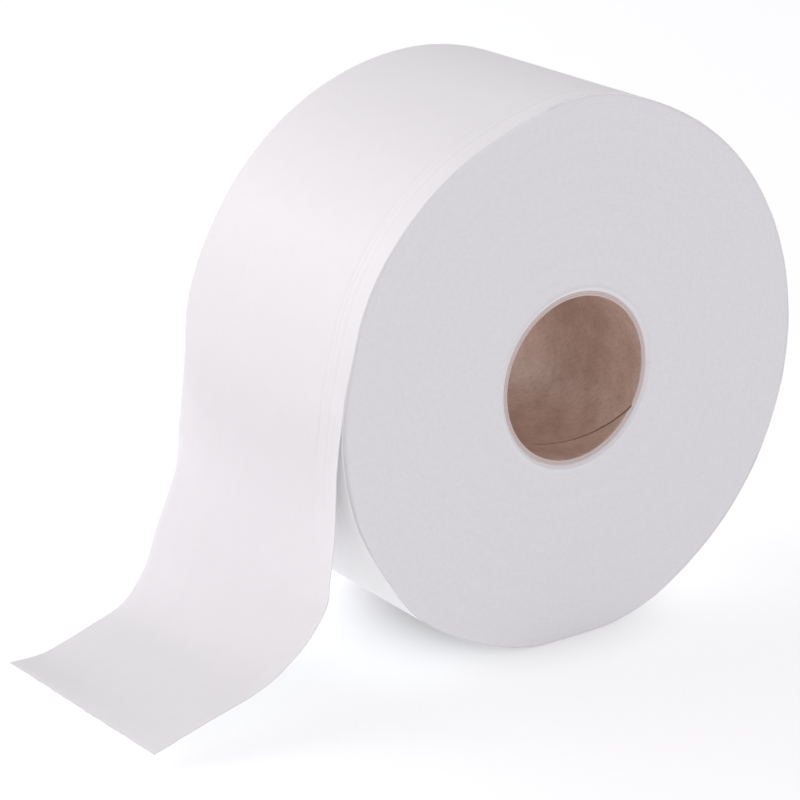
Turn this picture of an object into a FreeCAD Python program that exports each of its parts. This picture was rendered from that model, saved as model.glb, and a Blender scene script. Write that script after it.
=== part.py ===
import FreeCAD, Part
import os
from math import cos, radians, sin, sqrt, tan

# A jumbo bathroom tissue roll standing on its rim. One web of two-ply tissue is wound on a
# spiral card core, and its loose end hangs off the left side and trails out on the floor.
# The roll's axis runs along Y and its front end faces -Y. +Z is up. The origin is the middle
# of the small flat spot that the roll's own weight presses into its rim.

# The roll.
roll_diameter = 190.0
roll_width = 93.0
flat_spot_length = 28.0

# The card core. It is wound from strip on a helix, and the strip's joint shows in the bore.
# The seam angle is where the joint meets the core's front end, from +X towards +Z.
core_bore = 57.0
core_wall = 1.7
core_recess = 0.5
seam_lead = 102.0
seam_angle = 330.0
seam_width = 0.6
seam_depth = 0.35
seam_over_run = 4.0

# The turns. Each one drawn on the two ends stands for about fifty of the real ones.
sheet_thickness = 0.3
drawn_turns = 7.5
first_turn_inset = 1.2
last_turn_inset = 1.4
turn_line_width = 0.8
turn_line_depth = 0.4

# The loose end hangs, swings out, trails down and ends level. A sheet can't stretch, so both
# margins run in the same four directions, each a lean off the vertical, and every run is
# flat. The margins turn at different heights above the floor, which twists the sheet a
# little, and its far corner lies on the floor.
hang_lean = 4.5
swing_lean = 17.0
trail_lean = 72.0
tail_reach = 71.5
near_swing_height = 50.0
near_end_height = 5.2
near_level_run = 3.2
near_bend_radii = (60.0, 30.0, 14.0)
far_swing_height = 76.0
far_end_height = 0.0
far_level_run = 13.0
far_bend_radii = (70.0, 30.0, 30.0)

os.makedirs("parts", exist_ok=True)

roll_radius = roll_diameter / 2
core_radius = core_bore / 2 + core_wall
flat_sag = roll_radius - sqrt(roll_radius ** 2 - (flat_spot_length / 2) ** 2)
axis_height = roll_radius - flat_sag
front = -roll_width / 2
back = roll_width / 2
take_off_angle = 180 - hang_lean


def point(x, z, y=0.0):
    return FreeCAD.Vector(x, y, z)


centre = point(0, axis_height)
along = FreeCAD.Vector(0, 1, 0)


def outward(angle):
    # The unit vector at an angle round the roll, from +X towards +Z.
    return point(cos(radians(angle)), sin(radians(angle)))


def cylinder(radius, end_recess):
    start = centre + along * (front + end_recess)
    return Part.makeCylinder(radius, roll_width - 2 * end_recess, start, along)


# The core tube.
def seam_groove():
    # A V cut along the strip's helical joint, which runs past both ends of the core.
    helix = Part.makeHelix(seam_lead, roll_width + 2 * seam_over_run, core_bore / 2)
    inner = core_bore / 2 - seam_depth
    root = core_bore / 2 + seam_depth
    lip_below = point(inner, -seam_width)
    lip_above = point(inner, seam_width)
    section = Part.makePolygon([lip_below, point(root, 0), lip_above, lip_below])
    groove = Part.Wire(helix).makePipeShell([section], True, True)
    # The helix climbs along +Z from +X. It is laid over along the roll's axis, and spun so
    # that it passes the core's front end at the seam angle.
    groove.rotate(point(0, 0), point(1, 0), -90)
    groove.rotate(point(0, 0), along, -seam_angle - 360 * seam_over_run / seam_lead)
    groove.translate(centre + along * (front - seam_over_run))
    return groove


def core_tube():
    tube = cylinder(core_radius, core_recess).cut(cylinder(core_bore / 2, core_recess))
    return tube.cut(seam_groove())


# The wound turns. A wound line steps in by one pitch a turn. It is drawn as half turns,
# clockwise from the take-off, that swap between two centres half a pitch apart, so that each
# half turn meets the next on one tangent.
def half_turns(outer_radius, pitch, turns):
    halves = []
    hub = centre
    radius = outer_radius
    angle = take_off_angle
    for _ in range(round(2 * turns)):
        halves.append((hub, radius, angle))
        angle -= 180
        hub = hub + outward(angle) * (pitch / 2)
        radius -= pitch / 2
    return halves


def wound_body():
    # The outermost turn ends in a step, one sheet high, where the loose end leaves.
    edges = []
    for hub, radius, angle in half_turns(roll_radius, sheet_thickness, 1):
        stops = [hub + outward(angle - swept) * radius for swept in (0, 90, 180)]
        edges.append(Part.Arc(*stops).toShape())
    step_foot = centre + outward(take_off_angle) * (roll_radius - sheet_thickness)
    step_rim = centre + outward(take_off_angle) * roll_radius
    edges.append(Part.makeLine(step_foot, step_rim))
    body = Part.Face(Part.Wire(edges)).extrude(along * roll_width)
    body.translate(along * front)
    return body.cut(cylinder(core_radius, 0))


def turn_lines(end, outside):
    # A shallow V groove for each half turn, spun about that half turn's own hub. Outside is
    # the way out of the roll's end, and the cut starts as far out as it goes in.
    outer_radius = roll_radius - first_turn_inset
    pitch = (outer_radius - core_radius - last_turn_inset) / drawn_turns
    grooves = []
    for hub, radius, angle in half_turns(outer_radius, pitch, drawn_turns):
        line = hub + outward(angle) * radius + along * end
        mouth = line + outside * turn_line_depth
        root = line - outside * turn_line_depth
        spread = outward(angle) * turn_line_width
        section = Part.makePolygon([mouth + spread, root, mouth - spread, mouth + spread])
        grooves.append(Part.Face(section).revolve(hub, along, 180))
    return grooves


# The loose end. Its under side follows straight runs joined by tangent arcs, and its upper
# side is the same path moved out by one sheet.
def margin_corners(swing_height, end_height, level_run):
    hang, swing, trail = [tan(radians(lean)) for lean in (hang_lean, swing_lean, trail_lean)]
    foot = centre + outward(take_off_angle) * (roll_radius - sheet_thickness)
    first = point(foot.x - (foot.z - swing_height) * hang, swing_height)
    end = point(-roll_radius - tail_reach, end_height)
    last = point(end.x + level_run, end_height)
    # The second bend is where the run down from the first meets the run back from the last.
    height = (last.x - first.x - last.z * trail + first.z * swing) / (swing - trail)
    second = point(first.x - (first.z - height) * swing, height)
    return [foot, first, second, last, end]


def moved_out(corners, gap):
    # Each run moves sideways by gap, away from the roll, and the runs meet again.
    normals = []
    for start, end in zip(corners, corners[1:]):
        run = (end - start).normalize()
        normals.append(point(run.z, -run.x))
    moved = [corners[0] + normals[0] * gap]
    for corner, before, after in zip(corners[1:], normals, normals[1:]):
        bisector = before + after
        moved.append(corner + bisector * (gap / bisector.dot(before)))
    moved.append(corners[-1] + normals[-1] * gap)
    return moved


def rounded_path(corners, radii):
    edges = []
    start = corners[0]
    for before, corner, after, radius in zip(corners, corners[1:], corners[2:], radii):
        back_way = (before - corner).normalize()
        on_way = (after - corner).normalize()
        half_angle = back_way.getAngle(on_way) / 2
        tangent_run = radius / tan(half_angle)
        inset = radius / sin(half_angle) - radius
        arc_start = corner + back_way * tangent_run
        arc_middle = corner + (back_way + on_way).normalize() * inset
        arc_end = corner + on_way * tangent_run
        edges.append(Part.makeLine(start, arc_start))
        edges.append(Part.Arc(arc_start, arc_middle, arc_end).toShape())
        start = arc_end
    edges.append(Part.makeLine(start, corners[-1]))
    return edges


def margin_outline(under, radii, y):
    # One margin, edge by edge: along the under side, up the cut end, and back on top.
    over = moved_out(under, sheet_thickness)
    over_radii = [radius - sheet_thickness for radius in radii]
    edges = rounded_path(under, radii)
    edges.append(Part.makeLine(under[-1], over[-1]))
    edges += rounded_path(over[::-1], over_radii[::-1])
    edges.append(Part.makeLine(over[0], under[0]))
    return [edge.translated(along * y) for edge in edges]


def strip_between(near, far):
    # Two straight runs are parallel, so the strip between them is flat. A bend is ruled.
    if isinstance(near.Curve, Part.Circle):
        return Part.makeRuledSurface(near, far)
    near_start, near_end = [vertex.Point for vertex in near.Vertexes]
    far_start, far_end = [vertex.Point for vertex in far.Vertexes]
    return Part.Face(Part.makePolygon([near_start, near_end, far_end, far_start, near_start]))


def loose_end():
    near_corners = margin_corners(near_swing_height, near_end_height, near_level_run)
    far_corners = margin_corners(far_swing_height, far_end_height, far_level_run)
    near = margin_outline(near_corners, near_bend_radii, front)
    far = margin_outline(far_corners, far_bend_radii, back)
    faces = [strip_between(near_edge, far_edge) for near_edge, far_edge in zip(near, far)]
    faces += [Part.Face(Part.Wire(edges)) for edges in (near, far)]
    skin = Part.makeShell(faces)
    skin.sewShape()
    return Part.makeSolid(skin)


def tissue_web():
    web = wound_body().fuse(loose_end()).removeSplitter()
    web = web.cut(turn_lines(front, -along) + turn_lines(back, along))
    below = Part.makeBox(roll_diameter, roll_width, roll_radius)
    below.translate(point(-roll_radius, -roll_radius, front))
    return web.cut(below)


nodes = {"core_tube": core_tube(), "tissue_web": tissue_web()}
for name, shape in nodes.items():
    solid = shape.Solids[0]
    solid.exportStep("parts/" + name + ".step")
    print(name, "solids", len(shape.Solids), "valid", solid.isValid(), "volume", round(solid.Volume, 1))
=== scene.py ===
import math

import bmesh
import bpy
import numpy as np
from mathutils import Euler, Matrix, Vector, noise


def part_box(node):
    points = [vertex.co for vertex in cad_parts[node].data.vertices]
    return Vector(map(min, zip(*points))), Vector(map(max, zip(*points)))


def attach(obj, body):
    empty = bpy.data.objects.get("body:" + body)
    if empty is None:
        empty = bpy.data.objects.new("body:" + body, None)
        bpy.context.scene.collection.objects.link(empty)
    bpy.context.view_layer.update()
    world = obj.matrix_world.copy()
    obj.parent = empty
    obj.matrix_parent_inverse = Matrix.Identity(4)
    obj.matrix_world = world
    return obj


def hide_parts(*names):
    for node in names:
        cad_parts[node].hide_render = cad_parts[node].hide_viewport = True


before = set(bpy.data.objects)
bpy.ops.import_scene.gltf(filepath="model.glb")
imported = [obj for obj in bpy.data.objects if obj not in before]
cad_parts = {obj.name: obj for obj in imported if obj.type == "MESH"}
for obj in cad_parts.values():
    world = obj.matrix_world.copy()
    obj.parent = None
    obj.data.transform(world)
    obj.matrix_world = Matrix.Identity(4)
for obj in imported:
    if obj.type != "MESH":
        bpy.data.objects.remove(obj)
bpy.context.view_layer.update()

# The core. Two plies of recycled tube board are wound on a helix, glued into one tube and sawn
# to length. The inner ply's edges meet in a joint that climbs round the bore.
MM = 0.001
core_low, core_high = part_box("core_tube")
web_low, web_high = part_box("tissue_web")
core_radius = (core_high.x - core_low.x) / 2
axis_height = (core_high.z + core_low.z) / 2
core_wall = 1.7 * MM
bore_radius = core_radius - core_wall
joint_lead = 102 * MM
joint_angle = math.radians(330)
joint_half_width = 0.4 * MM
joint_depth = 0.4 * MM
lifted_lip = 0.16 * MM
lip_run = 5 * MM
out_of_round = 0.15 * MM
out_of_round_angle = 0.6
board_fuzz = 0.05 * MM
bore_fuzz_size = 3 * MM
end_fuzz_size = 0.8 * MM
# The tube's outer face stands just clear of the first turn.
outer_radius = core_radius - 0.05 * MM
# The sawn end from the bore outwards: the share of the wall, and how many millimetres in it
# lies. The nick halfway is the glue line between the two plies.
sawn_end = [
    (0, 0.3), (0.08, 0.08), (0.25, 0), (0.44, 0.03), (0.5, 0.2), (0.56, 0.03), (0.85, 0.02), (1, 0.12)
]
ring_angles = np.radians(np.arange(0, 360, 1.5))
rows_along_bore = 110


def turned(radius, angle, y):
    """Points at a radius and an angle round the roll's axis, from +X towards +Z."""
    radius, angle, y = np.broadcast_arrays(radius, angle, y)
    return np.stack([radius * np.cos(angle), y, axis_height + radius * np.sin(angle)], -1)


def rough(points, size, seed):
    """Smooth noise from -1 to 1 at each point, for lumps of about that size."""
    # Each seed starts at a place of its own in the noise.
    start = Vector((seed * 7.3, seed * 3.1, seed * 5.7))
    flat = points.reshape(-1, points.shape[-1]) / size
    values = [noise.noise(Vector(point) + start) for point in flat.tolist()]
    return np.array(values).reshape(points.shape[:-1])


def laid_mesh(name, points, closed_rows, closed_columns, places=None):
    """A smooth mesh on a grid of points. places are the points' own places on the flat paper."""
    rows, columns = points.shape[:2]
    grid = np.meshgrid(
        np.arange(rows - (not closed_rows)), np.arange(columns - (not closed_columns)), indexing="ij"
    )
    row, column = [part.ravel() for part in grid]
    corners = np.array([[row, column], [row + 1, column], [row + 1, column + 1], [row, column + 1]])
    if closed_columns and not closed_rows:
        # The two open ends are closed with strips from each outer edge to the inner one.
        side = np.arange(columns // 2 - 1)
        strip = np.array([side, side + 1, columns - 2 - side, columns - 1 - side])
        first_end = np.stack([0 * strip, strip], 1)
        last_end = np.stack([0 * strip + rows - 1, strip[::-1]], 1)
        corners = np.concatenate([corners, first_end, last_end], 2)
    faces = (corners[:, 0] % rows * columns + corners[:, 1] % columns).T
    mesh = bpy.data.meshes.new(name)
    mesh.from_pydata(points.reshape(-1, 3).tolist(), [], faces.tolist())
    if places is not None:
        layer = mesh.uv_layers.new(name="paper")
        layer.data.foreach_set("uv", places[corners[:, 0], corners[:, 1]].transpose(1, 0, 2).ravel())
    # Points that ran together become one.
    build = bmesh.new()
    build.from_mesh(mesh)
    bmesh.ops.remove_doubles(build, verts=build.verts, dist=0.002 * MM)
    bmesh.ops.recalc_face_normals(build, faces=build.faces)
    build.to_mesh(mesh)
    build.free()
    mesh.shade_smooth()
    piece = bpy.data.objects.new(name, mesh)
    bpy.context.scene.collection.objects.link(piece)
    return piece


def core_joint(angle):
    """How far along the roll the core's joint crosses that angle."""
    back_turn = (joint_angle - angle) % (2 * math.pi)
    return web_low.y + back_turn / (2 * math.pi) * joint_lead


def board_places(points, angles):
    """Each point's distance from the nearest pass of the joint, and its way round the bore."""
    off_joint = points[..., 1] - core_joint(angles)
    off_joint = abs((off_joint + joint_lead / 2) % joint_lead - joint_lead / 2)
    places = np.stack([off_joint, np.broadcast_to(angles * bore_radius, off_joint.shape)], -1)
    places = np.concatenate([places, places[:1]])
    return np.concatenate([places, places[:, :1] + [0, 2 * math.pi * bore_radius]], 1)


def wound_tube():
    even = np.linspace(core_low.y, core_high.y, 600)
    shares = np.linspace(0, 1, rows_along_bore)
    # Rows crowd together at the joint, so that its narrow groove is drawn fully.
    inner_y = np.empty((rows_along_bore, len(ring_angles)))
    for column, joint in enumerate(core_joint(ring_angles)):
        crowd = np.cumsum(1 + 40 * np.exp(-(((even - joint) / (2 * joint_half_width)) ** 2)))
        inner_y[:, column] = np.interp(shares, (crowd - crowd[0]) / (crowd[-1] - crowd[0]), even)
    off_joint = inner_y - core_joint(ring_angles)
    radius = bore_radius + joint_depth * np.exp(-((off_joint / joint_half_width) ** 2))
    radius -= np.where(off_joint < 0, lifted_lip * np.exp(off_joint / lip_run), 0)
    radius += out_of_round * np.sin(2 * ring_angles + out_of_round_angle)
    bore = turned(radius, ring_angles, inner_y)
    bore += (board_fuzz * rough(bore, bore_fuzz_size, 1))[..., None] * np.array([0.7, 0, 0.7])
    # Each sawn end goes on from the bore's last row to the outer face.
    steps = np.array(sawn_end)
    ring_radius = radius[-1] + steps[1:, :1] * (outer_radius - radius[-1])
    back_ring = turned(ring_radius, ring_angles, core_high.y - steps[1:, 1:] * MM)
    ring_radius = radius[0] + steps[:0:-1, :1] * (outer_radius - radius[0])
    front_ring = turned(ring_radius, ring_angles, core_low.y + steps[:0:-1, 1:] * MM)
    for ring in (back_ring, front_ring):
        ring[..., 1] += board_fuzz * rough(ring, end_fuzz_size, 2)
    bore[0, :, 1] = core_low.y + sawn_end[0][1] * MM
    bore[-1, :, 1] = core_high.y - sawn_end[0][1] * MM
    points = np.concatenate([bore, back_ring, front_ring])
    return laid_mesh("card_core", points, True, True, board_places(points, ring_angles))


def linear(colour):
    """An sRGB hex colour as linear red, green, blue and alpha."""
    parts = [int(colour[i:i + 2], 16) / 255 for i in (1, 3, 5)]
    return [c / 12.92 if c <= 0.04045 else ((c + 0.055) / 1.055) ** 2.4 for c in parts] + [1]


def add(tree, kind, settings=None, links=None):
    """Adds a node with its settings and links. A colour ramp's stops are (place, sRGB hex) pairs."""
    node = tree.nodes.new("ShaderNode" + kind)
    for key, value in (settings or {}).items():
        if key == "stops":
            for place, colour in value:
                node.color_ramp.elements.new(place).color = linear(colour)
            node.color_ramp.elements.remove(node.color_ramp.elements[-1])
            node.color_ramp.elements.remove(node.color_ramp.elements[0])
        elif isinstance(key, int) or key in node.inputs:
            node.inputs[key].default_value = value
        else:
            setattr(node, key, value)
    for key, source in (links or {}).items():
        if isinstance(source, bpy.types.Node):
            source = source.outputs[0]
        tree.links.new(source, node.inputs[key])
    return node


def blank_material(name):
    material = bpy.data.materials.new(name)
    material.use_nodes = True
    material.node_tree.nodes.clear()
    return material, material.node_tree


def recycled_tube_board():
    # Unbleached recycled board with a calendered face: warm grey-brown with a dull sheen at a low
    # angle, clouded by its mixed fibres, with short dark flecks and a fine tooth. Along the joint a dark
    # line is partly glue and partly painted shade of its gap. Real fibres are too thin to show, so the
    # flecks are drawn coarser.
    material, tree = blank_material("recycled_tube_board")
    cloud_size = 9 * MM
    fibre_width = 0.8 * MM
    fibre_length = 1.9 * MM
    tooth = 0.35 * MM
    joint_glue_and_shade_width = 0.7 * MM
    fleck_strength = 0.55
    place = add(tree, "TexCoord").outputs["Object"]
    cloud_form = {"Scale": 1 / cloud_size, "Detail": 4, "Roughness": 0.6}
    cloud = add(tree, "TexNoise", cloud_form, {"Vector": place})
    on_board = add(tree, "UVMap", {"uv_map": "paper"})
    fibre_form = {"Scale": (1 / fibre_width, 1 / fibre_length, 1)}
    drawn_out = add(tree, "Mapping", fibre_form, {"Vector": on_board})
    fibres = add(tree, "TexNoise", {"Scale": 1, "Detail": 4, "Roughness": 0.7}, {"Vector": drawn_out})
    base = add(tree, "ValToRGB", {"stops": [(0.3, "#C7A99A"), (0.7, "#DCC3B6")]}, {0: cloud})
    fleck_stops = [(0.28, "#8A6C60"), (0.4, "#E6DCD6"), (0.55, "#FFFFFF")]
    flecks = add(tree, "ValToRGB", {"stops": fleck_stops}, {0: fibres})
    multiply = {"data_type": "RGBA", "blend_type": "MULTIPLY"}
    flecked = add(tree, "Mix", multiply | {0: fleck_strength}, {6: base, 7: flecks}).outputs[2]
    # The dark line along the joint is glue and painted shade of the gap, darkest at the joint itself.
    off_joint = add(tree, "SeparateXYZ", links={0: on_board}).outputs["X"]
    from_joint = add(tree, "MapRange", {"From Max": joint_glue_and_shade_width}, {"Value": off_joint})
    glue_and_painted_shade = add(tree, "ValToRGB", {"stops": [(0.3, "#A08878"), (1, "#FFFFFF")]}, {0: from_joint})
    glued_and_shaded = add(tree, "Mix", multiply | {0: 1}, {6: flecked, 7: glue_and_painted_shade}).outputs[2]
    grain = add(tree, "TexNoise", {"Scale": 1 / tooth, "Detail": 3}, {"Vector": place})
    bump = add(tree, "Bump", {"Strength": 0.35, "Distance": 0.05 * MM}, {"Height": grain})
    face = {"Roughness": 0.52, "IOR": 1.5}
    board = add(tree, "BsdfPrincipled", face, {"Base Color": glued_and_shaded, "Normal": bump})
    add(tree, "OutputMaterial", links={"Surface": board})
    return material


def sawn_board_edge():
    # The sawn end bares the board's soft grey inside: paler and pinker than its faces, with a
    # rough nap and the darker line of glue between the plies.
    material, tree = blank_material("sawn_board_edge")
    nap = 0.5 * MM
    place = add(tree, "TexCoord").outputs["Object"]
    torn = add(tree, "TexNoise", {"Scale": 1 / nap, "Detail": 4, "Roughness": 0.7}, {"Vector": place})
    colour = add(tree, "ValToRGB", {"stops": [(0.3, "#CBBAB7"), (0.65, "#DFD2CF")]}, {0: torn})
    bump = add(tree, "Bump", {"Strength": 0.5, "Distance": 0.1 * MM}, {"Height": torn})
    face = {"Roughness": 0.95, "IOR": 1.5}
    board = add(tree, "BsdfPrincipled", face, {"Base Color": colour, "Normal": bump})
    add(tree, "OutputMaterial", links={"Surface": board})
    return material


core = wound_tube()
core.data.materials.append(recycled_tube_board())
core.data.materials.append(sawn_board_edge())
# The faces near an end that look along the roll show the sawn board.
end_reach = 0.4 * MM
least_end_slant = 0.4
for face in core.data.polygons:
    at_end = min(face.center.y - core_low.y, core_high.y - face.center.y) < end_reach
    face.material_index = int(at_end and abs(face.normal.y) > least_end_slant)
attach(core, "root")
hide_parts("core_tube")

# The wound turns. One web of two-ply tissue is wound tightly on the core, hundreds of turns
# deep. Its cut edges make the two flat ends, where a few turns stand a little proud or sunk.
roll_radius = web_high.z - axis_height
roll_front = web_low.y
roll_back = web_high.y
sheet_thickness = 0.3 * MM
take_off = math.radians(175.5)
tucked_in = math.radians(30)
# A real turn is 0.17 mm thick, under half a pixel. Each turn drawn stands for about eight.
drawn_turn = 1.3 * MM
samples_a_turn = 3
turn_crest = 0.035 * MM
stray_turn = 0.09 * MM
proud_turn_place = 1.3 * MM
proud_turn_spread = 0.45 * MM
proud_turn_height = 0.3 * MM
sunk_first_turn = 0.62 * MM
sunk_turn_spread = 0.5 * MM
shoulder_run = 1.6 * MM
shoulder_drop = 0.25 * MM
# The first turn's radius, and how far the turns lie below the last one's outer face.
first_radius = core_radius - 0.03 * MM
turns_below = 0.25 * MM
# A soft roll isn't quite round: the angle and spread of each swelling or dent in degrees, and
# its height at the front and back ends in millimetres. The turns by the core stay round.
uneven_places = [(86, 13, 1.9, 0.3), (110, 9, -0.5, 0), (166, 9, -1.3, 0.8), (291, 9, 0.8, 0.4)]
# Under the loose end the turns lie slack, and the edges of the two ends are rounded off. The
# values are as above, with the rounding's size for the height.
slack_places = [(212, 8, -0.6, -0.2), (227, 7, 0.8, 0.3)]
rounded_places = [(186, 20, 3.4, 0.8)]
least_rounding = 0.05 * MM
flat_softness = 0.22 * MM


def uneven(places, angle, y):
    """How far those places swell the rim out at that angle and place along the roll."""
    share = (y - roll_front) / (roll_back - roll_front)
    total = 0
    for middle, spread, front_height, back_height in places:
        off = (np.degrees(angle) - middle + 180) % 360 - 180
        height = front_height + (back_height - front_height) * share
        total = total + height * MM * np.exp(-((off / spread) ** 2))
    return total


def rim_radius(angle, y, slack=1):
    """The rim's radius, softly flattened where the roll's weight presses it on the floor."""
    round_rim = roll_radius + uneven(uneven_places, angle, y)
    round_rim = round_rim + slack * uneven(slack_places, angle, y)
    # The floor lies at this radius. It matters only near straight down.
    pressed = axis_height / np.maximum(-np.sin(angle), 0.5)
    gap = np.minimum((pressed - round_rim) / flat_softness, 30)
    return round_rim - flat_softness * np.log1p(np.exp(-gap))


def pressed_radius(radius, angle, y):
    """Where a turn of that radius lies in the uneven roll."""
    depth = np.clip((radius - core_radius) / (roll_radius - core_radius), 0, 1)
    return radius + (rim_radius(angle, y) - roll_radius) * depth ** 2.5


def tucked_depth(angle):
    """How deep the turn below lies at that angle. The step is hidden under the last turn."""
    turned_back = (take_off - tucked_in - angle) % (2 * math.pi) + tucked_in
    return sheet_thickness * turned_back / (2 * math.pi)


def end_height(radius, turn_number, strays, rounding):
    """How far an end of the roll stands proud of flat at that radius."""
    from_core = radius - core_radius
    height = turn_crest * np.cos(2 * math.pi * turn_number)
    height = height + np.interp(turn_number, np.arange(len(strays)), strays)
    from_proud_turn = (from_core - proud_turn_place) / proud_turn_spread
    height = height + proud_turn_height * np.exp(-(from_proud_turn ** 2))
    height = height - sunk_first_turn * np.exp(-((from_core / sunk_turn_spread) ** 2))
    into_shoulder = np.clip((radius - roll_radius + shoulder_run) / shoulder_run, 0, 1)
    into_rounding = np.clip((radius - roll_radius + turns_below) / rounding + 1, 0, 1)
    return height - shoulder_drop * into_shoulder ** 2 - rounding * into_rounding ** 2


def roll_end(y, outward, seed):
    """Rows of points that follow the spiral from the core out to the rim."""
    last_radius = roll_radius - turns_below - tucked_depth(ring_angles)
    shift = np.arange(len(ring_angles)) / len(ring_angles) * samples_a_turn
    count = int((roll_radius - first_radius) / drawn_turn * samples_a_turn) + samples_a_turn + 1
    number = (np.arange(count)[:, None] - samples_a_turn + shift) / samples_a_turn
    radius = np.clip(first_radius + number * drawn_turn, first_radius, last_radius)
    strays = np.random.default_rng(seed).normal(0, stray_turn / 2, count)
    strays = np.convolve(strays, [0.25, 0.5, 0.25], "same")
    rounding = np.maximum(uneven(rounded_places, ring_angles, y), least_rounding)
    height = end_height(radius, (radius - first_radius) / drawn_turn, strays, rounding)
    radius = pressed_radius(radius, ring_angles, y)
    return turned(radius, ring_angles, y + outward * height)


def wound_body():
    front_rows = roll_end(roll_front, -1, 3)
    back_rows = roll_end(roll_back, 1, 4)
    along = np.linspace(roll_front, roll_back, 14)[1:-1, None]
    tread_radius = rim_radius(ring_angles, along) - turns_below - tucked_depth(ring_angles)
    tread = turned(tread_radius, ring_angles, along)
    bore = turned(first_radius, ring_angles, along[::-1])
    points = np.concatenate([front_rows, tread, back_rows[::-1], bore])
    return laid_mesh("wound_turns", points, True, True)


def cut_tissue_edges():
    # The cut edges of hundreds of tissue turns: matt, soft white, with a fine concentric grain
    # and a faint mottle of loose fibre ends.
    material, tree = blank_material("cut_tissue_edges")
    # Real turns are 0.17 mm apart. They are drawn at 0.5 mm, so that they show up close. The wave
    # texture has 20 rings in each 2 pi of its scaled length.
    ring_pitch = 0.5 * MM
    rings_scale = 2 * math.pi / 20 / ring_pitch
    mottle_size = 1.6 * MM
    place = add(tree, "TexCoord").outputs["Object"]
    centred = add(tree, "Mapping", {"Location": (0, 0, -axis_height)}, {"Vector": place})
    ring_form = {"wave_type": "RINGS", "rings_direction": "Y", "Distortion": 2.5, "Detail": 2}
    rings = add(tree, "TexWave", ring_form | {"Scale": rings_scale}, {"Vector": centred})
    mottle_form = {"Scale": 1 / mottle_size, "Detail": 4, "Roughness": 0.65}
    mottle = add(tree, "TexNoise", mottle_form, {"Vector": place})
    height = add(tree, "Math", {"operation": "MULTIPLY_ADD", 1: 0.35}, {0: rings.outputs["Fac"], 2: mottle})
    bump = add(tree, "Bump", {"Strength": 0.3, "Distance": 0.12 * MM}, {"Height": height})
    colour = add(tree, "ValToRGB", {"stops": [(0.3, "#EBEAEE"), (0.7, "#F0EFF2")]}, {0: mottle})
    paper = {"Roughness": 0.95, "IOR": 1.4, "Specular IOR Level": 0.2}
    edges = add(tree, "BsdfPrincipled", paper, {"Base Color": colour, "Normal": bump})
    add(tree, "OutputMaterial", links={"Surface": edges})
    return material


turns = wound_body()
turns.data.materials.append(cut_tissue_edges())
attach(turns, "root")
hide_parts("tissue_web")

# The last turn and the loose end. The web's outermost turn comes up from under itself on the
# left, passes right round the roll, leaves it on the left and falls to the floor. Its end was torn
# off along a perforation.
drawn_thickness = 0.24 * MM
row_spacing = 2 * MM
loose_row_spacing = 1.5 * MM
loose_length = 150 * MM
column_spacing = 1.6 * MM
# Each margin's way down, as distances to the left of the axis and heights above the floor, in
# millimetres.
front_fall = [
    (96.7, 83), (97.4, 63), (99.6, 46.5), (101, 37.5), (107.4, 28.5),
    (116.4, 20.6), (128, 14.5), (148.4, 9), (166.3, 4)
]
back_fall = [
    (96, 89), (98.6, 70), (100.7, 56.5), (108.9, 37), (114.6, 21.8),
    (123, 11.3), (136, 6), (153, 0.7), (167, 0.5)
]
# The sheet comes clear of the slack turns over this run before it leaves the roll.
lift_off_run = math.radians(20)
tread_wave = 0.1 * MM
loose_wave = 0.4 * MM
wave_size = 34 * MM
loosening_run = 40 * MM
crumple = 0.07 * MM
crumple_size = 10 * MM
margin_wander = 0.18 * MM
wander_size = 7 * MM
wander_reach = 4 * MM
margin_flare = 0.25 * MM
margin_flare_run = 1.2 * MM
# One stretch of the front margin stands proud of the roll's end.
proud_margin = 0.9 * MM
proud_margin_reach = 6 * MM
proud_margin_angles = (math.radians(98), math.radians(150))
proud_margin_rise = 0.02
proud_margin_fade = 0.6
# The back margin curls under where the sheet bends out, this far past the place it leaves at.
back_curl = 1.3 * MM
back_curl_run = 3.5 * MM
bend_middle = 62 * MM
bend_spread = 34 * MM
# Knurled wheels crimp the two plies together in lines: how far each lies from the front margin,
# and how deep it is as a share of the deepest.
crimp_lines = [(6.4 * MM, 0.9), (9.6 * MM, 1), (11.6 * MM, 1), (66.5 * MM, 0.5)]
crimp_half_width = 0.55 * MM
crimp_depth = 0.17 * MM
crimp_change_size = 45 * MM
mean_crimp = 0.65
crimp_change = 0.7
least_crimp = 0.1
pressed_out_share = 0.8
pressed_out_start = 15 * MM
pressed_out_run = 45 * MM
torn_teeth = 0.35 * MM
tooth_size = 1.1 * MM
# The sheet lies smooth where it touches the floor, up to this height, and eases off above it.
floor_contact = 0.35 * MM
floor_easing = 1.5 * MM


def smooth_line(points, count):
    """A Catmull-Rom curve from the second point to the last, evenly spaced."""
    points = np.array(points + [2 * points[-1] - points[-2]])
    t = np.linspace(0, 1, 40, endpoint=False)[:, None]
    line = []
    for before, start, end, after in zip(points, points[1:], points[2:], points[3:]):
        bend = 2 * before - 5 * start + 4 * end - after
        twist = 3 * start - before - 3 * end + after
        line.append(start + 0.5 * t * (end - before + t * (bend + t * twist)))
    line = np.concatenate(line + [points[-2:-1]])
    reach = np.concatenate([[0], np.cumsum(np.linalg.norm(np.diff(line, axis=0), axis=1))])
    even = np.linspace(0, reach[-1], count)
    return np.stack([np.interp(even, reach, axis) for axis in line.T], -1)


def falling_margin(fall, y, count):
    """One margin of the loose end, from where it leaves the rim to its corner."""
    leaving = [turned(rim_radius(angle, y, 0), angle, y) for angle in (take_off - 0.12, take_off)]
    corners = [np.array([-left * MM, y, height * MM]) for left, height in fall]
    return smooth_line(leaving + corners, count)


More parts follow.
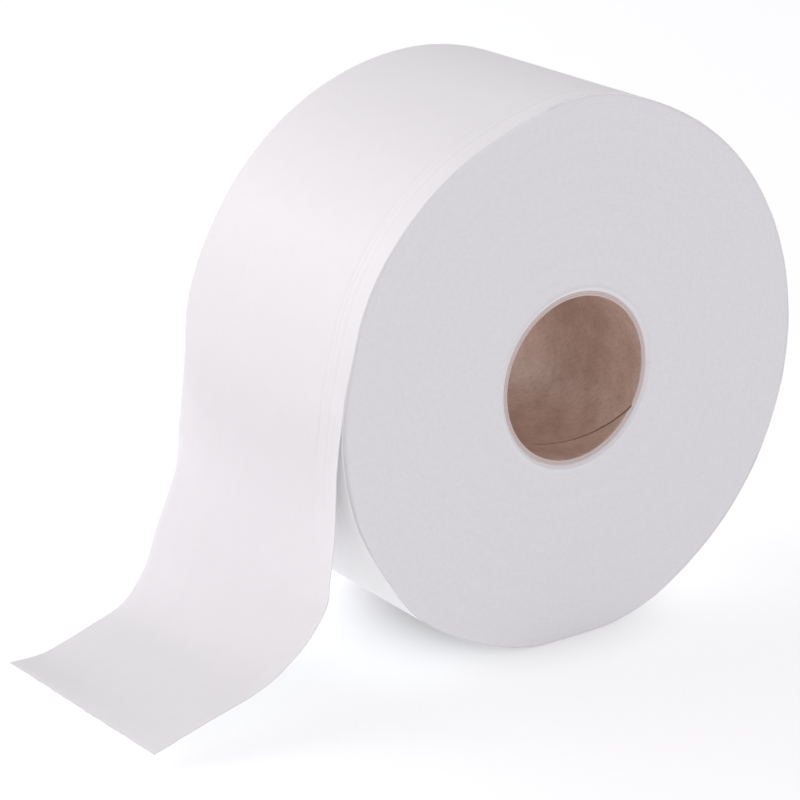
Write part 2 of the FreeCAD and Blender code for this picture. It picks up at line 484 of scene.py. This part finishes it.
def web_columns(width):
    """Places across the web, closer together at the margins and at the crimp lines."""
    places = list(np.linspace(0, width, round(width / column_spacing)))
    for line, _ in crimp_lines:
        places = [place for place in places if abs(place - line) > 2.2 * crimp_half_width]
        places += [line + share * crimp_half_width for share in (-1.6, -0.8, 0, 0.8, 1.6)]
    places += [0.25 * MM, 0.7 * MM, width - 0.7 * MM, width - 0.25 * MM]
    return np.array(sorted(places))


def wound_run(y):
    """The wound part's angles and points. Its start lies one sheet deeper, under its end."""
    sweep = 2 * math.pi + tucked_in
    rows = round(sweep * roll_radius / row_spacing)
    angle = np.linspace(take_off - sweep, take_off, rows)[:-1, None]
    deeper = sheet_thickness * (take_off - angle) / (2 * math.pi)
    slack = np.clip((take_off - angle) / lift_off_run, 0, 1)
    return angle[:, 0], turned(rim_radius(angle, y, slack) - deeper, angle, y)


def loose_run(share):
    """The loose end's points, ruled from margin to margin."""
    rows = round(loose_length / loose_row_spacing)
    front_line = falling_margin(front_fall, roll_front, rows)
    back_line = falling_margin(back_fall, roll_back, rows)
    return front_line[:, None] * (1 - share) + back_line[:, None] * share


def surface_lift(flat, past_leaving, width):
    """How far the sheet stands off its smooth form. past_leaving is the run since the roll."""
    across = flat[..., 1]
    free = np.clip(past_leaving / loosening_run, 0, 1)
    # Soft waves, stronger where nothing holds the sheet. Handling has left faint crumples there.
    wave = tread_wave + (loose_wave - tread_wave) * free
    lift = wave * rough(flat * [1, 0.6, 1], wave_size, 5)
    lift += crumple * free * rough(flat, crumple_size, 6)
    # The crimp lines come and go along the web, and are pressed out of the loose end.
    pressed_out = np.clip((past_leaving - pressed_out_start) / pressed_out_run, 0, 1)
    left_over = 1 - pressed_out_share * pressed_out
    for number, (line, depth_share) in enumerate(crimp_lines):
        change = rough(flat[:, :1] + [0, line, 0], crimp_change_size, 8 + number)
        strength = np.clip(mean_crimp + crimp_change * change, least_crimp, 1)
        groove = np.exp(-(((across - line) / crimp_half_width) ** 2))
        lift -= crimp_depth * depth_share * strength * left_over * groove
    # The loose margins flare out, and the back one curls under at the bend.
    from_margin = np.minimum(across, width - across)
    lift += margin_flare * np.exp(-from_margin / margin_flare_run) * free
    bend = np.exp(-(((past_leaving - bend_middle) / bend_spread) ** 2))
    lift -= bend * back_curl * np.clip(1 - (width - across) / back_curl_run, 0, 1) ** 2
    return lift


def sheet_normals(points):
    """The unit normals of a grid of points, outwards from the roll."""
    along = np.gradient(points, axis=0)
    across = np.gradient(points, axis=1)
    normals = np.cross(across, along)
    return normals / np.linalg.norm(normals, axis=-1)[..., None]


def web_sheet():
    """The sheet's outer points, their places on the flat sheet, and where it leaves the roll."""
    width = roll_back - roll_front
    across = web_columns(width)
    angle, wound = wound_run(roll_front + across)
    loose = loose_run(across[None, :, None] / width)
    points = np.concatenate([wound, loose])
    steps = np.linalg.norm(np.diff(points, axis=0), axis=-1).mean(1)
    along = np.concatenate([[0], np.cumsum(steps)])
    leave = along[len(wound)]
    flat = np.stack(np.broadcast_arrays(along[:, None], across, 0 * along[:, None]), -1)
    lift = surface_lift(flat, along[:, None] - leave, width)
    clear_of_floor = np.clip((points[..., 2] - floor_contact) / floor_easing, 0, 1)
    points += sheet_normals(points) * (lift * clear_of_floor)[..., None]
    # The margins wander a little, and one stretch stands proud of the front end.
    wander = margin_wander * rough(flat[:, :1], wander_size, 14)
    points[..., 1] += wander * np.exp(-np.minimum(across, width - across) / wander_reach)
    low, high = proud_margin_angles
    turn = np.concatenate([angle, np.full(len(loose), take_off)])
    proud = np.clip((turn - low) / proud_margin_rise, 0, 1)
    proud = proud * np.clip((high - turn) / proud_margin_fade, 0, 1)
    points[..., 1] -= proud_margin * proud[:, None] * np.exp(-across / proud_margin_reach)
    # The tear leaves short uneven teeth on the last row.
    teeth = torn_teeth * rough(flat[-1:] * [1, 1, 0], tooth_size, 15)[0]
    onwards = points[-1] - points[-2]
    points[-1] += teeth[:, None] * onwards / np.linalg.norm(onwards, axis=-1)[:, None]
    return points, flat, leave


points, flat, leaves_at = web_sheet()
inner_side = points - sheet_normals(points) * drawn_thickness
both_sides = np.concatenate([points, inner_side[:, ::-1]], 1)
places = np.concatenate([flat, flat[:, ::-1], flat[:, :1]], 1)[..., :2]
loose = laid_mesh("last_turn_and_loose_end", both_sides, False, True, places)


def creped_tissue():
    # Two-ply creped tissue: matt bleached fibre, whiter than its cut edges, with fine crepe lines
    # across the web and a faint cloudiness where the fibres lie thicker.
    material, tree = blank_material("creped_tissue")
    # Real crepe lines are 0.3 mm apart. They are drawn at 0.6 mm, so that they show.
    crepe_pitch = 0.6 * MM
    crepe_length = 5 * MM
    cloud_size = 7 * MM
    place = add(tree, "UVMap", {"uv_map": "paper"})
    crepe_form = {"Scale": (1 / crepe_pitch, 1 / crepe_length, 1)}
    drawn_out = add(tree, "Mapping", crepe_form, {"Vector": place})
    crepe = add(tree, "TexNoise", {"Scale": 1, "Detail": 3, "Roughness": 0.6}, {"Vector": drawn_out})
    cloud_form = {"Scale": 1 / cloud_size, "Detail": 5, "Roughness": 0.6}
    cloud = add(tree, "TexNoise", cloud_form, {"Vector": place})
    bump = add(tree, "Bump", {"Strength": 0.3, "Distance": 0.08 * MM}, {"Height": crepe})
    colour = add(tree, "ValToRGB", {"stops": [(0.3, "#FAF9FA"), (0.7, "#FCFBFC")]}, {0: cloud})
    paper = {"Roughness": 0.95, "IOR": 1.4, "Specular IOR Level": 0.2}
    fluff = {"Sheen Weight": 0.05, "Sheen Roughness": 0.6}
    tissue = add(tree, "BsdfPrincipled", paper | fluff, {"Base Color": colour, "Normal": bump})
    # One sheet lets light through. On the roll, the turns below send all of it back.
    backed_until = leaves_at - 50 * MM
    unbacked_from = leaves_at + 20 * MM
    share_let_through = 0.3
    thinning = {"From Min": backed_until, "From Max": unbacked_from, "To Max": share_let_through}
    along = add(tree, "SeparateXYZ", links={0: place}).outputs["X"]
    thin = add(tree, "MapRange", thinning, {"Value": along})
    through = add(tree, "BsdfTranslucent", links={"Color": colour})
    sheet = add(tree, "MixShader", links={0: thin, 1: tissue, 2: through})
    add(tree, "OutputMaterial", links={"Surface": sheet})
    return material


loose.data.materials.append(creped_tissue())
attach(loose, "root")
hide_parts("tissue_web")

# The studio. The roll stands on a broad pale floor under an even pale sky, with two softboxes,
# one behind it and one on its left. The floor glows a little with painted light and has a painted shadow
# under the roll. The floor is so broad that its far edge lies by the horizon.
floor_size = 100
floor_corners = np.array([[[1, -1, 0], [1, 1, 0]], [[-1, -1, 0], [-1, 1, 0]]])
floor = laid_mesh("floor", floor_corners * floor_size / 2, False, False)


def white_floor_with_painted_glow():
    # A matt white studio floor with painted light: it glows a little, so that it stays paler than the
    # tissue.
    material, tree = blank_material("white_floor_with_painted_glow")
    paint = {"Base Color": linear("#F4F4F5"), "Roughness": 1, "Specular IOR Level": 0}
    glow = {"Emission Color": linear("#FBFFFF")}
    # The painted glow fades out under the roll, which paints a soft shadow round it.
    painted_shadow_start = 15 * MM
    painted_shadow_end = 75 * MM
    place = add(tree, "TexCoord").outputs["Object"]
    away = add(tree, "VectorMath", {"operation": "LENGTH"}, {0: place}).outputs["Value"]
    full_painted_glow = 0.36
    painted_shadow_fade = {"From Min": painted_shadow_start, "From Max": painted_shadow_end, "To Max": full_painted_glow}
    # Painted shadow: no glow near the roll, full glow further out.
    strength = add(tree, "MapRange", {"interpolation_type": "SMOOTHSTEP"} | painted_shadow_fade, {"Value": away})
    white = add(tree, "BsdfPrincipled", paint | glow, {"Emission Strength": strength})
    add(tree, "OutputMaterial", links={"Surface": white})
    return material


floor.data.materials.append(white_floor_with_painted_glow())

world = bpy.data.worlds.new("pale_sky")
bpy.context.scene.world = world
world.use_nodes = True
sky = world.node_tree.nodes["Background"].inputs
sky["Color"].default_value = linear("#FFFBFD")
sky["Strength"].default_value = 0.63
bpy.context.scene.view_settings.view_transform = "Standard"


def soft_light(name, place, aim, size, power, colour):
    """A square softbox with its side in metres and its power in watts."""
    light = bpy.data.lights.new(name, "AREA")
    light.size = size
    light.energy = power
    light.color = linear(colour)[:3]
    lamp = bpy.data.objects.new(name, light)
    lamp.location = place
    lamp.rotation_mode = "QUATERNION"
    lamp.rotation_quaternion = (Vector(aim) - Vector(place)).to_track_quat("-Z", "Y")
    bpy.context.scene.collection.objects.link(lamp)


roll_middle = (0, 0, axis_height)
# A cool light rakes over the top from behind, and a faintly pink one fills the left side.
soft_light("back_softbox", (-0.8, 1.6, 1), roll_middle, 1, 6, "#E8FDFF")
soft_light("left_softbox", (-1.5, 0.9, 0.4), roll_middle, 0.9, 7, "#FFF0F8")

# The camera looks down on the roll from its front left. Its place is in metres and its lens in
# millimetres.
camera_place = Vector((-0.5846, -0.7634, 0.4207))
camera_azimuth = math.radians(-35.555)
camera_elevation = math.radians(19.896)
lens_length = 132.616
sensor_width = 36
camera = bpy.data.objects.new("camera", bpy.data.cameras.new("camera"))
camera.data.lens = lens_length
camera.data.sensor_width = sensor_width
camera.location = camera_place
camera.rotation_euler = Euler((math.pi / 2 - camera_elevation, 0, camera_azimuth))
bpy.context.scene.collection.objects.link(camera)
bpy.context.scene.camera = camera
